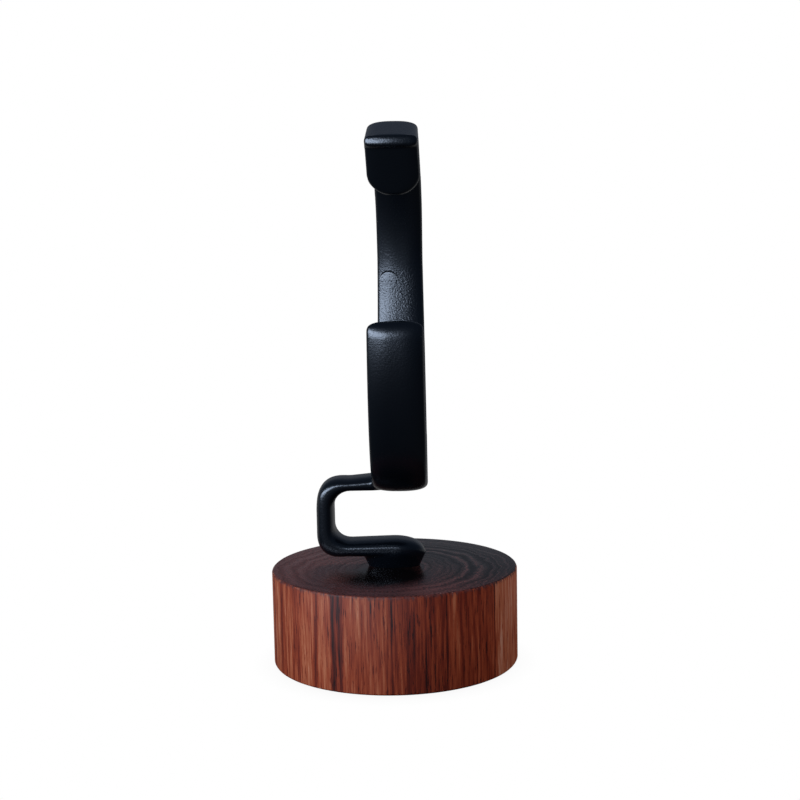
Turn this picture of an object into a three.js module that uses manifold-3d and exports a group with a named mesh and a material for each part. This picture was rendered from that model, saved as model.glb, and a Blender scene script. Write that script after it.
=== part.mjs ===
// Watch holder: a C-shaped clip of black plastic that a closed watch bracelet slips over, on a round
// block of oiled hardwood. One screw from beneath holds the clip's foot to the block.
// Millimetres, +Z up, the clip's mouth facing -Y. The origin is the middle of the face it stands on.

import * as THREE from "three";
import { mergeVertices } from "three/addons/utils/BufferGeometryUtils.js";
import Module from "manifold-3d";

// Clearances
const CLEARANCE = 0.3; // round pieces in their holes, each side

// Block of wood
const BASE_DIAMETER = 50;
const BASE_HEIGHT = 19.4;
const BASE_CHAMFER = 0.5;

// Rubber disc let into the underside of the block
const PAD_DIAMETER = 42;
const PAD_THICKNESS = 1.5;
const PAD_RECESS_DEPTH = 1;

// C ring, seen from the side: an oval that leans back and is open at the upper front
const RING_LENGTH = 75.6; // along the oval
const RING_BREADTH = 48.7; // across the oval
const RING_LEAN = 15; // degrees
const RING_SETBACK = 4; // middle of the oval behind the axis of the block
const RING_CLEAR_OF_BASE = 15.95; // window for the bracelet, block to underside of the ring
const RING_OFFSET_X = 1.6; // middle plane of the ring from the axis of the block
const LIP_DROP = 1.35; // top of the front lip below the middle of the oval
const BAND_THICKNESS = 3.6;
const BAND_WIDTH_LIP = 10.8;
const BAND_WIDTH_BOTTOM = 11.2;
const BAND_WIDTH_BACK = 9.9;
const BAND_WIDTH_HOOK = 10.45;
const BAND_SQUARENESS = 2.6; // exponent of the section: 2 is an ellipse, larger is squarer
const LIP_END_LENGTH = 4.5; // over which the lip thins to its edge
const LIP_CORNER = 2;
const LIP_CORNER_SQUARENESS = 3;

// Hook: the band runs straight on from the top of the oval and a tongue turns down from its end
const HOOK_START = 2.7; // where it leaves the oval, behind the middle of the oval
const HOOK_ROOF_LENGTH = 15.7;
const HOOK_THICKNESS = 2.6; // at the corner and in the tongue
const HOOK_CORNER = 0.9;
const HOOK_LEAN = 22; // degrees that the tongue leans inwards
const TONGUE_LENGTH = 11.4;
const TONGUE_ROUND = 4.2; // length of its rounded end
const TONGUE_EDGE = 0.9; // over which it thins to its edge

// Neck: from the left of the ring's underside, down and back in over the block
const NECK_DEPTH = 8.6;
const NECK_REACH = 13.8; // middle of the upright from the axis of the block
const NECK_BEND_RADIUS = 3.7; // middle of the bar
const NECK_THICKNESS_ROOT = 3; // where it leaves the ring
const NECK_THICKNESS_UPPER = 2.5;
const NECK_THICKNESS_UPRIGHT = 3.6;
const NECK_THICKNESS_LOWER = 3.2;
const NECK_CLEAR_OF_BASE = 2.4;
const NECK_SQUARENESS = 4.5;
const NECK_ROOT_ROUND = 1; // its end inside the ring

// Foot: the bar runs on over the screw into a toe that turns down, on a boss that stands on the block
const FOOT_THICKNESS = 3.7; // of the bar, over the screw
const FOOT_ROOF = 1; // plastic over the end of the screw hole
const TOE_REACH = 6.2; // tip of the toe from the axis of the screw
const TOE_DROP = 1.6; // tip of the toe below the middle of the bar
const TOE_ROUND = 3.5; // over which it thins to its tip
const TOE_TAPER = 5.5; // over which its depth rounds off
const BOSS_LENGTH = 10.6;
const BOSS_DEPTH = 8.2;
const PEG_DIAMETER = 2.4;
const PEG_LENGTH = 2.5;
const PEG_OFFSET = 3.5; // to the right of the axis of the screw

// Screw and washer
const SCREW_DIAMETER = 3.5;
const SCREW_LENGTH = 16; // under the head
const SCREW_TIP_LENGTH = 2.5;
const SCREW_TIP_GAP = 0.4; // tip to the end of its hole
const HEAD_DIAMETER = 7;
const HEAD_HEIGHT = 2.4;
const HEAD_RIM = 0.7; // straight part of the head, under its dome
const DRIVE_WIDTH = 1;
const DRIVE_SPAN = 4;
const DRIVE_DEPTH = 1.4;
const WASHER_DIAMETER = 9;
const WASHER_THICKNESS = 0.8;

// Facets
const LARGE_SEGMENTS = 96;
const ROUND_SEGMENTS = 48;
const SMALL_SEGMENTS = 24;
const BAND_POINTS = 20;
const OVAL_STEPS = 44;
const BEND_STEPS = 6;
const STRAIGHT_STEPS = 3;
const END_STEPS = 5;
const LEAST_STEP = 0.3; // between a rounded end and the next section

// Joins and cuts
const JOIN_OVERLAP = 0.5; // shapes of one moulding run this far into each other
const CUT_PAST = 1; // cutters run this far past the face they open

// Heights that follow from the sizes above
const baseBottom = PAD_THICKNESS - PAD_RECESS_DEPTH;
const baseTop = baseBottom + BASE_HEIGHT;
const recessTop = baseBottom + PAD_RECESS_DEPTH;
const ringBottom = baseTop + RING_CLEAR_OF_BASE;
const ringLean = THREE.MathUtils.degToRad(RING_LEAN);
const ringHalfLength = (RING_LENGTH - BAND_THICKNESS) / 2;
const ringHalfBreadth = (RING_BREADTH - BAND_THICKNESS) / 2;
const ringUp = [ringHalfLength * Math.cos(ringLean), ringHalfBreadth * Math.sin(ringLean)];
const ringMiddle = ringBottom + Math.hypot(...ringUp) + BAND_THICKNESS / 2;
const footTop = baseTop + NECK_CLEAR_OF_BASE + NECK_THICKNESS_LOWER;
const pilotTop = footTop - FOOT_ROOF;
const screwTip = pilotTop - SCREW_TIP_GAP;
const headSeat = screwTip - SCREW_LENGTH;
const washerSeat = headSeat + WASHER_THICKNESS;

const wasm = await Module();
wasm.setup();

const blackPlastic = new THREE.MeshStandardMaterial({ color: 0x0b0d11, roughness: 0.42, metalness: 0 });
const oiledWood = new THREE.MeshStandardMaterial({ color: 0x5a2f22, roughness: 0.5, metalness: 0 });
const zincSteel = new THREE.MeshStandardMaterial({ color: 0xb9bcc0, roughness: 0.35, metalness: 1 });
const blackRubber = new THREE.MeshStandardMaterial({ color: 0x1b1b1c, roughness: 0.9, metalness: 0 });

// Closed geometry to a solid that can be joined and cut.
function solid(geometry) {
  const bare = geometry.clone();
  bare.deleteAttribute("normal");
  bare.deleteAttribute("uv");
  const merged = mergeVertices(bare, 1e-4);
  const vertProperties = new Float32Array(merged.getAttribute("position").array);
  const triVerts = new Uint32Array(merged.getIndex().array);
  return new wasm.Manifold(new wasm.Mesh({ numProp: 3, vertProperties, triVerts }));
}

// Solid back to a named mesh.
function meshOf(name, shape, material) {
  const made = shape.getMesh();
  const geometry = new THREE.BufferGeometry();
  geometry.setAttribute("position", new THREE.BufferAttribute(new Float32Array(made.vertProperties), 3));
  geometry.setIndex(new THREE.BufferAttribute(new Uint32Array(made.triVerts), 1));
  geometry.computeVertexNormals();
  const mesh = new THREE.Mesh(geometry, material);
  mesh.name = name;
  return mesh;
}

// Solid turned about Z from a list of [radius, height] that runs up its outside, from axis to axis.
function turned(profile, segments = ROUND_SEGMENTS) {
  const points = profile.map(([radius, height]) => new THREE.Vector2(radius, height));
  return solid(new THREE.LatheGeometry(points, segments).rotateX(Math.PI / 2));
}

function cylinder(diameter, bottom, top, segments = ROUND_SEGMENTS) {
  const radius = diameter / 2;
  return turned([[0, bottom], [radius, bottom], [radius, top], [0, top]], segments);
}

// Quarter-round factor, 0 at the tip of an end and 1 from `length` on.
function endFactor(distance, length, squareness = 2) {
  const left = Math.max(0, 1 - distance / length);
  return (1 - left ** squareness) ** (1 / squareness);
}

// Value at `at` on straight lines between [place, value] pairs.
function between(pairs, at) {
  const next = pairs.findIndex(([place]) => place >= at);
  if (next <= 0) return next < 0 ? pairs.at(-1)[1] : pairs[0][1];
  const [fromPlace, fromValue] = pairs[next - 1];
  const [toPlace, toValue] = pairs[next];
  return THREE.MathUtils.mapLinear(at, fromPlace, toPlace, fromValue, toValue);
}

// Closed skin over rounded sections. Each station has a centre, two unit directions and two half sizes,
// and the first and last stations close to a point.
function loft(stations, pointCount, squareness) {
  const rings = stations.slice(1, -1);
  const skin = rings.flatMap((ring) => sectionPoints(ring, pointCount, squareness));
  const position = [stations[0].centre, ...skin, stations.at(-1).centre];
  const index = [];
  const last = position.length - 1;
  const at = (ring, point) => 1 + ring * pointCount + (point % pointCount);
  for (let point = 0; point < pointCount; point += 1) {
    index.push(0, at(0, point + 1), at(0, point));
    for (let ring = 0; ring < rings.length - 1; ring += 1) {
      index.push(at(ring, point), at(ring, point + 1), at(ring + 1, point));
      index.push(at(ring, point + 1), at(ring + 1, point + 1), at(ring + 1, point));
    }
    index.push(last, at(rings.length - 1, point), at(rings.length - 1, point + 1));
  }
  const geometry = new THREE.BufferGeometry().setFromPoints(position);
  geometry.setIndex(index);
  return solid(geometry);
}

// Points of one rounded section, a superellipse of the given squareness.
function sectionPoints({ centre, across, through, halfAcross, halfThrough }, pointCount, squareness) {
  return Array.from({ length: pointCount }, (_, point) => {
    const angle = (2 * Math.PI * point) / pointCount;
    const u = Math.sign(Math.cos(angle)) * Math.abs(Math.cos(angle)) ** (2 / squareness);
    const v = Math.sign(Math.sin(angle)) * Math.abs(Math.sin(angle)) ** (2 / squareness);
    return centre.clone().addScaledVector(across, u * halfAcross).addScaledVector(through, v * halfThrough);
  });
}

// Distances along a route: close together in its rounded ends and bends, even on its other stretches.
function stationDistances(route, steps, startEnd, finishEnd) {
  const length = route.getLength();
  const ends = [0, ...route.getCurveLengths()];
  const { lerp } = THREE.MathUtils;
  const even = steps.flatMap((count, curve) =>
    Array.from({ length: count }, (_, step) => lerp(ends[curve], ends[curve + 1], step / count)),
  );
  const first = startEnd + LEAST_STEP;
  const last = length - finishEnd - LEAST_STEP;
  const inner = even.filter((distance) => distance > first && distance < last);
  const rounding = Array.from({ length: END_STEPS + 1 }, (_, step) => {
    const angle = (step / END_STEPS) * (Math.PI / 2);
    return 1 - Math.cos(angle);
  });
  const start = rounding.map((share) => share * startEnd);
  const finish = rounding.map((share) => length - share * finishEnd).reverse();
  return [...start, ...inner, ...finish];
}

// Skin of a band along a route in the plane of the oval. The first coordinate of the plane is Y and the
// second is Z. The half sizes follow from the distance to either end.
function band(route, steps, [startEnd, finishEnd], halfSizes) {
  const length = route.getLength();
  const stations = stationDistances(route, steps, startEnd, finishEnd).map((distance) => {
    const point = route.getPointAt(distance / length);
    const tangent = route.getTangentAt(distance / length);
    const [halfAcross, halfThrough] = halfSizes(distance, length - distance);
    return {
      centre: new THREE.Vector3(RING_OFFSET_X, point.x, point.y),
      across: new THREE.Vector3(1, 0, 0),
      through: new THREE.Vector3(0, tangent.y, -tangent.x),
      halfAcross,
      halfThrough,
    };
  });
  return loft(stations, BAND_POINTS, BAND_SQUARENESS);
}

// The ring from its thinned lip round the back to the corner of the hook, with the tongue under the corner.
function ringSolid() {
  const back = [ringHalfBreadth * Math.cos(ringLean), ringHalfLength * Math.sin(ringLean)];
  const bottomAngle = 1.5 * Math.PI + Math.atan2(ringUp[1], ringUp[0]);
  const backAngle = 2 * Math.PI + Math.atan2(back[1], back[0]);
  const lipAngle = bottomAngle - Math.acos(LIP_DROP / Math.hypot(...ringUp));
  const hookAngle = backAngle + Math.acos(HOOK_START / Math.hypot(...back));
  const ovalTo = (angle) =>
    new THREE.EllipseCurve(
      RING_SETBACK, ringMiddle, ringHalfBreadth, ringHalfLength, lipAngle, angle, false, -ringLean,
    );
  const oval = ovalTo(hookAngle);
  const roofStart = oval.getPoint(1);
  const corner = roofStart.clone().addScaledVector(oval.getTangent(1), HOOK_ROOF_LENGTH);
  const route = new THREE.CurvePath();
  route.add(oval);
  route.add(new THREE.LineCurve(roofStart, corner));
  const widths = [
    [0, BAND_WIDTH_LIP],
    [ovalTo(bottomAngle).getLength(), BAND_WIDTH_BOTTOM],
    [ovalTo(backAngle).getLength(), BAND_WIDTH_BACK],
    [oval.getLength(), BAND_WIDTH_HOOK],
  ];
  const thicknesses = [
    [oval.getLength(), BAND_THICKNESS],
    [route.getLength(), HOOK_THICKNESS],
  ];
  const ends = [LIP_END_LENGTH, HOOK_CORNER];
  const ring = band(route, [OVAL_STEPS, 2 * STRAIGHT_STEPS], ends, (done, left) => [
    (between(widths, done) / 2) *
      endFactor(done, LIP_CORNER, LIP_CORNER_SQUARENESS) *
      endFactor(left, HOOK_CORNER, LIP_CORNER_SQUARENESS),
    (between(thicknesses, done) / 2) * endFactor(done, LIP_END_LENGTH) * endFactor(left, HOOK_CORNER),
  ]);
  return ring.add(tongueSolid(corner));
}

// The tongue, with its front face running down from the corner of the hook.
function tongueSolid(corner) {
  const lean = THREE.MathUtils.degToRad(HOOK_LEAN);
  const down = new THREE.Vector2(Math.sin(lean), -Math.cos(lean));
  const inwards = new THREE.Vector2(Math.cos(lean), Math.sin(lean));
  const start = corner.clone().addScaledVector(inwards, HOOK_THICKNESS / 2);
  const finish = start.clone().addScaledVector(down, TONGUE_LENGTH);
  const route = new THREE.CurvePath();
  route.add(new THREE.LineCurve(start, finish));
  return band(route, [2 * STRAIGHT_STEPS], [HOOK_CORNER, TONGUE_ROUND], (done, left) => [
    (BAND_WIDTH_HOOK / 2) *
      endFactor(done, HOOK_CORNER, LIP_CORNER_SQUARENESS) *
      endFactor(left, TONGUE_ROUND),
    (HOOK_THICKNESS / 2) * endFactor(done, HOOK_CORNER) * endFactor(left, TONGUE_EDGE),
  ]);
}

// Route of the neck in the plane Y = 0, from inside the ring's underside to the tip of the toe.
// The first coordinate of the plane is X and the second is Z.
function neckRoute() {
  const bendX = NECK_BEND_RADIUS - NECK_REACH;
  const armTop = ringBottom + NECK_THICKNESS_UPPER / 2;
  const armBottom = baseTop + NECK_CLEAR_OF_BASE + NECK_THICKNESS_LOWER / 2;
  const quarter = Math.PI / 2;
  const bend = (height, from) =>
    new THREE.EllipseCurve(bendX, height, NECK_BEND_RADIUS, NECK_BEND_RADIUS, from, from + quarter);
  const upperBend = bend(armTop - NECK_BEND_RADIUS, quarter);
  const lowerBend = bend(armBottom + NECK_BEND_RADIUS, 2 * quarter);
  const root = new THREE.Vector2(RING_OFFSET_X, ringBottom + BAND_THICKNESS / 2);
  const route = new THREE.CurvePath();
  route.add(new THREE.LineCurve(root, upperBend.getPoint(0)));
  route.add(upperBend);
  route.add(new THREE.LineCurve(upperBend.getPoint(1), lowerBend.getPoint(0)));
  route.add(lowerBend);
  const foot = new THREE.Vector2(0, armBottom);
  const toeBend = new THREE.Vector2(TOE_REACH / 2, armBottom);
  const toe = new THREE.Vector2(TOE_REACH, armBottom - TOE_DROP);
  route.add(new THREE.LineCurve(lowerBend.getPoint(1), foot));
  route.add(new THREE.QuadraticBezierCurve(foot, toeBend, toe));
  return route;
}

// The bar of the neck, thickest in its upright and over the screw.
function neckSolid() {
  const route = neckRoute();
  const length = route.getLength();
  const [armEnd, upperEnd, uprightEnd, lowerEnd, footMiddle] = route.getCurveLengths();
  const thicknesses = [
    [BAND_WIDTH_BOTTOM / 2, NECK_THICKNESS_ROOT],
    [armEnd, NECK_THICKNESS_UPPER],
    [upperEnd, NECK_THICKNESS_UPRIGHT],
    [uprightEnd, NECK_THICKNESS_UPRIGHT],
    [lowerEnd, NECK_THICKNESS_LOWER],
    [footMiddle, FOOT_THICKNESS],
  ];
  const steps = [2 * STRAIGHT_STEPS, BEND_STEPS, STRAIGHT_STEPS, BEND_STEPS, STRAIGHT_STEPS, BEND_STEPS];
  const distances = stationDistances(route, steps, NECK_ROOT_ROUND, TOE_ROUND);
  const stations = distances.map((distance) => {
    const point = route.getPointAt(distance / length);
    const tangent = route.getTangentAt(distance / length);
    const left = length - distance;
    const root = endFactor(distance, NECK_ROOT_ROUND);
    return {
      centre: new THREE.Vector3(point.x, 0, point.y),
      across: new THREE.Vector3(0, 1, 0),
      through: new THREE.Vector3(-tangent.y, 0, tangent.x),
      halfAcross: (NECK_DEPTH / 2) * root * endFactor(left, TOE_TAPER),
      halfThrough: (between(thicknesses, distance) / 2) * root * endFactor(left, TOE_ROUND),
    };
  });
  return loft(stations, BAND_POINTS, NECK_SQUARENESS);
}

// The boss under the foot, an oval that runs up into the bar.
function bossSolid() {
  const top = baseTop + NECK_CLEAR_OF_BASE + JOIN_OVERLAP;
  return cylinder(BOSS_LENGTH, baseTop, top).scale([1, BOSS_DEPTH / BOSS_LENGTH, 1]);
}

// One moulding: ring, neck and foot, with a hole for the screw and a peg that stops it turning.
function makeClip() {
  const peg = cylinder(PEG_DIAMETER, baseTop - PEG_LENGTH, baseTop + JOIN_OVERLAP, SMALL_SEGMENTS);
  const pilot = cylinder(SCREW_DIAMETER + 2 * CLEARANCE, baseTop - CUT_PAST, pilotTop, SMALL_SEGMENTS);
  const shape = ringSolid()
    .add(neckSolid())
    .add(bossSolid())
    .subtract(pilot)
    .add(peg.translate([PEG_OFFSET, 0, 0]));
  return meshOf("holder_clip", shape, blackPlastic);
}

// Turned block, bored from beneath for the screw and recessed for the pad.
function makeBase() {
  const radius = BASE_DIAMETER / 2;
  const block = turned([
    [0, baseBottom],
    [radius - BASE_CHAMFER, baseBottom],
    [radius, baseBottom + BASE_CHAMFER],
    [radius, baseTop - BASE_CHAMFER],
    [radius - BASE_CHAMFER, baseTop],
    [0, baseTop],
  ], LARGE_SEGMENTS);
  const below = baseBottom - CUT_PAST;
  const above = baseTop + CUT_PAST;
  const pegHoleEnd = baseTop - PEG_LENGTH - CLEARANCE;
  const recess = cylinder(PAD_DIAMETER + 2 * CLEARANCE, below, recessTop, LARGE_SEGMENTS);
  const counterbore = cylinder(WASHER_DIAMETER + 2 * CLEARANCE, below, washerSeat);
  const screwHole = cylinder(SCREW_DIAMETER + 2 * CLEARANCE, below, above, SMALL_SEGMENTS);
  const pegHole = cylinder(PEG_DIAMETER + 2 * CLEARANCE, pegHoleEnd, above, SMALL_SEGMENTS);
  const shape = block
    .subtract(recess)
    .subtract(counterbore)
    .subtract(screwHole)
    .subtract(pegHole.translate([PEG_OFFSET, 0, 0]));
  return meshOf("base_block", shape, oiledWood);
}

// Plain washer at the top of the counterbore.
function makeWasher() {
  const ring = cylinder(WASHER_DIAMETER, headSeat, washerSeat);
  const holeDiameter = SCREW_DIAMETER + 2 * CLEARANCE;
  const hole = cylinder(holeDiameter, headSeat - CUT_PAST, washerSeat + CUT_PAST, SMALL_SEGMENTS);
  return meshOf("screw_washer", ring.subtract(hole), zincSteel);
}

// Pan-head screw with a cross recess, head down.
function makeScrew() {
  const headRadius = HEAD_DIAMETER / 2;
  const shankRadius = SCREW_DIAMETER / 2;
  const headBottom = headSeat - HEAD_HEIGHT;
  const rimBottom = headSeat - HEAD_RIM;
  const profile = [];
  for (let step = 0; step <= END_STEPS; step += 1) {
    const angle = (step / END_STEPS) * (Math.PI / 2);
    profile.push([headRadius * Math.sin(angle), rimBottom - (rimBottom - headBottom) * Math.cos(angle)]);
  }
  profile.push([headRadius, headSeat], [shankRadius, headSeat]);
  profile.push([shankRadius, screwTip - SCREW_TIP_LENGTH], [0, screwTip]);
  const shape = turned(profile, SMALL_SEGMENTS);
  const slot = new THREE.BoxGeometry(DRIVE_SPAN, DRIVE_WIDTH, 2 * DRIVE_DEPTH).translate(0, 0, headBottom);
  const cross = slot.clone().rotateZ(Math.PI / 2);
  return meshOf("fixing_screw", shape.subtract(solid(slot)).subtract(solid(cross)), zincSteel);
}

// Rubber disc that the holder stands on.
function makePad() {
  return meshOf("anti_slip_pad", cylinder(PAD_DIAMETER, 0, PAD_THICKNESS, LARGE_SEGMENTS), blackRubber);
}

const watchHolder = new THREE.Group();
watchHolder.add(makePad(), makeBase(), makeWasher(), makeScrew(), makeClip());

export default watchHolder;
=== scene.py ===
# Watch holder: a black C-shaped clip that a closed bracelet slips over, on a round block of oiled hardwood.
# It is built in metres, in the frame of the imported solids: +Z up, the clip's mouth facing -Y. The sizes of
# its pieces are written in millimetres.

import math

import bmesh
import bpy
import numpy as np
from mathutils import Matrix, Vector, noise


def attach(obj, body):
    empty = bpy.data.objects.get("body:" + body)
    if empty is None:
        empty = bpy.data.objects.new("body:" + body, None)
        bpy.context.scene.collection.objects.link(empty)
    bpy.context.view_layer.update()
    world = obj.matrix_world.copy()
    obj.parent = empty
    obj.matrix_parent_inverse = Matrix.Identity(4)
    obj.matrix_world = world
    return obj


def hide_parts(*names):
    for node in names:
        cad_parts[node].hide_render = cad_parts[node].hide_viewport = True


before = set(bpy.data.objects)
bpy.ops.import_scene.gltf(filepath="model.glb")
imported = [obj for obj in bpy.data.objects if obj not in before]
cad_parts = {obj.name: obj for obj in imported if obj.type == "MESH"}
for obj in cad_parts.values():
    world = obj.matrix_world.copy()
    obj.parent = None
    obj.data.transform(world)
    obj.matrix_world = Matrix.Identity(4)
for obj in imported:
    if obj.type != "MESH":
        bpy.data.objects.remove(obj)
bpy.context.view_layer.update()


# Block of hardwood
# A round block with its grain standing upright, cut across the log, so the top is end grain and the side
# is long grain. It is turned, sanded with softened rims, oiled, and bored from beneath for the screw.

MM = 0.001
BLOCK_RADIUS = 25.0
BLOCK_BOTTOM = 0.5
BLOCK_TOP = 19.9
BLOCK_RIM = 0.5
BLOCK_RIM_STEPS = 6
PAD_RECESS_RADIUS = 21.3
PAD_RECESS_TOP = 1.5
COUNTERBORE_RADIUS = 4.8
WASHER_SEAT = 8.9
SCREW_HOLE_RADIUS = 2.05
PEG_HOLE_RADIUS = 1.5
PEG_HOLE_BOTTOM = 17.1
PEG_OFFSET = 3.5
TURNING_STEPS = 192
SANDING_DIP = 0.06  # how deep the hand sanding dips into the rims
SANDING_WAVE = 2.5  # length of those dips
DRILL_STEPS = 32
DRILL_PAST = 1.0  # how far a drill runs past the face that it opens
SHARP_FROM = 40.0  # degrees that an edge turns from which on it stays sharp
TOUCH = 0.01  # distance within which a point lies on a line


def piece(name, mesh):
    """New object of the scene from a mesh in metres."""
    made = bpy.data.objects.new(name, mesh)
    bpy.context.scene.collection.objects.link(made)
    return made


def turned(profile, steps):
    """Closed skin turned about Z from a closed list of (radius, height) in millimetres, as a bmesh in metres.
    A point on the axis becomes one vertex."""
    skin = bmesh.new()
    rings = []
    for radius, height in profile:
        count = 1 if radius == 0 else steps
        angles = [2 * math.pi * step / steps for step in range(count)]
        rings.append([
            skin.verts.new((radius * math.cos(a) * MM, radius * math.sin(a) * MM, height * MM)) for a in angles
        ])
    for lower, upper in zip(rings, rings[1:] + rings[:1]):
        for step in range(steps):
            here, there = step, (step + 1) % steps
            corners = [lower[here % len(lower)], lower[there % len(lower)]]
            corners += [upper[there % len(upper)], upper[here % len(upper)]]
            corners = list(dict.fromkeys(corners))
            if len(corners) > 2:
                skin.faces.new(corners)
    bmesh.ops.recalc_face_normals(skin, faces=skin.faces)
    return skin


def mesh_of(skin, name):
    """Mesh from a bmesh, smooth over every edge that isn't sharp. The bmesh is used up."""
    for face in skin.faces:
        face.smooth = True
    for edge in skin.edges:
        if len(edge.link_faces) == 2:
            edge.smooth = edge.calc_face_angle(0) < math.radians(SHARP_FROM)
    mesh = bpy.data.meshes.new(name)
    skin.to_mesh(mesh)
    skin.free()
    return mesh


def quarter_round(radius, height, size, start, steps):
    """Points of a rim of the given size about (radius, height), from the start angle through 90 degrees."""
    angles = [math.radians(start + 90 * step / steps) for step in range(steps + 1)]
    return [(radius + size * math.cos(a), height + size * math.sin(a)) for a in angles]


inner_radius = BLOCK_RADIUS - BLOCK_RIM
block_profile = [(SCREW_HOLE_RADIUS, BLOCK_TOP), (SCREW_HOLE_RADIUS, WASHER_SEAT)]
block_profile += [(COUNTERBORE_RADIUS, WASHER_SEAT), (COUNTERBORE_RADIUS, PAD_RECESS_TOP)]
block_profile += [(PAD_RECESS_RADIUS, PAD_RECESS_TOP), (PAD_RECESS_RADIUS, BLOCK_BOTTOM)]
block_profile += quarter_round(inner_radius, BLOCK_BOTTOM + BLOCK_RIM, BLOCK_RIM, -90, BLOCK_RIM_STEPS)
block_profile += quarter_round(inner_radius, BLOCK_TOP - BLOCK_RIM, BLOCK_RIM, 0, BLOCK_RIM_STEPS)
block_skin = turned(block_profile, TURNING_STEPS)
for vert in block_skin.verts:
    radius = math.hypot(vert.co.x, vert.co.y) / MM
    to_face = min(vert.co.z / MM - BLOCK_BOTTOM, BLOCK_TOP - vert.co.z / MM)
    if radius > inner_radius - TOUCH and to_face < BLOCK_RIM - TOUCH:
        dip = SANDING_DIP * (1 + noise.noise(vert.co / (SANDING_WAVE * MM))) / 2
        vert.co *= Vector((1 - dip / BLOCK_RADIUS, 1 - dip / BLOCK_RADIUS, 1))
block = piece("wood_block", mesh_of(block_skin, "wood_block"))


def settle(made):
    """Turns an object's modifiers into its mesh, with its sharp edges kept sharp."""
    bpy.context.view_layer.update()
    mesh = bpy.data.meshes.new_from_object(made.evaluated_get(bpy.context.evaluated_depsgraph_get()))
    made.modifiers.clear()
    mesh.set_sharp_from_angle(angle=math.radians(SHARP_FROM))
    made.data = mesh
    mesh.name = made.name


def drill(made, radius, bottom, top, offset):
    """Cuts an upright round hole, offset to the right of the axis."""
    profile = [(0, bottom), (radius, bottom), (radius, top), (0, top)]
    bit = piece("drill", mesh_of(turned(profile, DRILL_STEPS), "drill"))
    bit.location.x = offset * MM
    hole = made.modifiers.new("hole", "BOOLEAN")
    hole.object = bit
    hole.solver = "MANIFOLD"
    settle(made)
    bpy.data.objects.remove(bit)


drill(block, PEG_HOLE_RADIUS, PEG_HOLE_BOTTOM, BLOCK_TOP + DRILL_PAST, PEG_OFFSET)


def hex_colour(code):
    """Linear colour with full alpha from an sRGB hex code."""
    channels = [int(code[place:place + 2], 16) / 255 for place in (1, 3, 5)]
    linear = [c / 12.92 if c <= 0.04045 else ((c + 0.055) / 1.055) ** 2.4 for c in channels]
    return (*linear, 1)


def add_node(tree, kind, settings=None, **links):
    """Adds a node. Settings are its properties, or the stops of a colour ramp. Links go to its sockets by
    name, with _ for a space and a number after __ where sockets share a name: a socket is linked and a value
    is set."""
    node = tree.nodes.new(kind)
    for key, value in (settings or {}).items():
        if key == "stops":
            elements = node.color_ramp.elements
            for index, (place, colour) in enumerate(value):
                stop = elements[index] if index < 2 else elements.new(place)
                stop.position, stop.color = place, colour
        else:
            setattr(node, key, value)
    for key, value in links.items():
        name, _, place = key.rpartition("__") if "__" in key else (key, "", "0")
        same = [socket for socket in node.inputs if socket.name == name.replace("_", " ") and socket.enabled]
        socket = same[int(place)]
        if isinstance(value, bpy.types.NodeSocket):
            tree.links.new(value, socket)
        else:
            socket.default_value = value
    return node


def new_material(name):
    """Empty node material with its output, as (material, tree, output)."""
    material = bpy.data.materials.new(name)
    material.use_nodes = True
    material.node_tree.nodes.clear()
    return material, material.node_tree, material.node_tree.nodes.new("ShaderNodeOutputMaterial")


# Oiled hardwood: long grain in reddish brown streaks with dark pore lines up the side, and near-black end
# grain with a satin sheen on top. The dark oil runs a little way down the pores from the top.
GRAIN_MIDDLE = (34.0, 24.0)  # middle of the bands of the side, near which the end grain is darkest, beyond the right back of the block
PITH = (-2.0, -3.0)  # middle of the growth rings, under the foot
PAINTED_SHADE_AT = (-1.0, -9.0)  # middle of the painted shade in front of the foot, which stands in for the foot's shadow and its dark reflection
STREAK = (0.5, 0.5, 11.0)  # across the grain and along it, as in the four below
PORE = (0.27, 0.27, 4.5)  # a little coarser than real, so that it shows in the render
END_PORE = (0.5, 0.5, 4.0)  # coarser than real too
OIL_RUN = (0.45, 0.45, 40.0)
WANDER = (5.0, 5.0, 30.0)  # distance over which bands, rings and edges wander
NOISE_DETAIL, NOISE_ROUGHNESS = 4.0, 0.6
NOISE_MEAN = 0.5
BANDS_FROM, BANDS_TO = 40.0, 67.0  # distance from that middle over which the bands of the side are drawn
BANDS = [  # distance and tone, with the thin dark lines where the tone is low
    # The pale first two stops are a painted sheen: the side is painted paler wherever it lies closer than 41.45
    # to the middle of the bands, on its right and back.
    (40.0, 0.72), (41.45, 0.62), (41.7, 0.1), (41.95, 0.46), (49.7, 0.34), (50.2, 0.56), (51.9, 0.56),
    (52.2, 0.08), (52.45, 0.36), (55.2, 0.36), (55.4, 0.08), (55.6, 0.34), (57.6, 0.34), (57.8, 0.1),
    (58.0, 0.42), (59.45, 0.44), (59.6, 0.0), (59.8, 0.48), (63.9, 0.57), (64.35, 0.1), (64.6, 0.38),
    (64.8, 0.08), (65.0, 0.64), (65.65, 0.66), (65.8, 0.15), (65.95, 0.66), (66.4, 0.68), (66.5, 0.2),
    (66.6, 0.66),
]
BAND_WANDER = 0.3
STREAK_DEPTH = 1.35  # how much the streaks change the tone
PORE_DEPTH = 0.38  # how much a pore darkens it
PORE_FROM, PORE_TO = 0.36, 0.42  # level of the noise inside a pore, and beside it
FINE_RING = 1.4  # about from one thin ring to the next, on the end grain
FINE_RING_DETAIL = 3.0
FINE_RING_WANDER = 4.0  # how far those rings wander from true circles
SLOPE_FROM, SLOPE_TO = 30.0, 54.0  # distance from that middle over which the end grain goes from darker to paler
NEAR_TONE, FAR_TONE = -0.3, 0.23  # how that changes the tone
NEAR_RINGS, FAR_RINGS = 1.3, 0.3  # how deeply the thin rings are marked there
END_PORE_FROM, END_PORE_TO = 0.2, 0.8  # level of the noise for the darkest and the palest end grain
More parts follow.
